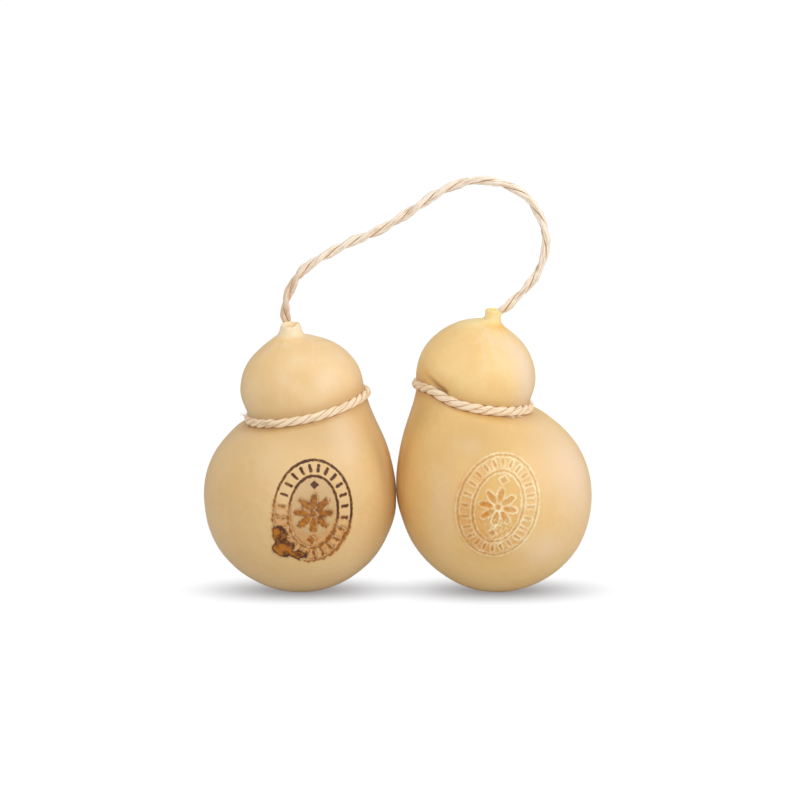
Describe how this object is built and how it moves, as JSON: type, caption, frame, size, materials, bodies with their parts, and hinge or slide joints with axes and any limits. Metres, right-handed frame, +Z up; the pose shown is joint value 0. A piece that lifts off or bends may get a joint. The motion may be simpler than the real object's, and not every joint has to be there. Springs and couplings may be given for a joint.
{
  "type": "caciocavallo cheese pair",
  "caption": "Two pear-shaped stretched-curd cheeses, each with a knobbed head and a rope sunk round its neck, tied to the ends of one twisted carrying cord.",
  "frame": {"origin": "on the standing surface, in the middle of the pair", "axes": "+X from the left cheese to the right one as seen from the front, -Y out of the front, +Z up"},
  "size_m": [0.2352, 0.1196, 0.2487],
  "materials": {
    "rind_left": "smooth waxy natural rind, warm beige, soft satin sheen",
    "rind_right": "smooth waxy natural rind, slightly yellower, soft satin sheen",
    "rope": "undyed three-strand plant-fibre rope, dry and matte",
    "cord": "undyed two-strand plant-fibre cord, dry and matte"
  },
  "bodies": {
    "root": {"cheese_left": "rind_left", "cheese_right": "rind_right", "neck_rope_left": "rope", "neck_rope_right": "rope", "neck_knot_left": "rope", "neck_knot_right": "rope", "carrying_cord": "cord"}
  },
  "joints": []
}
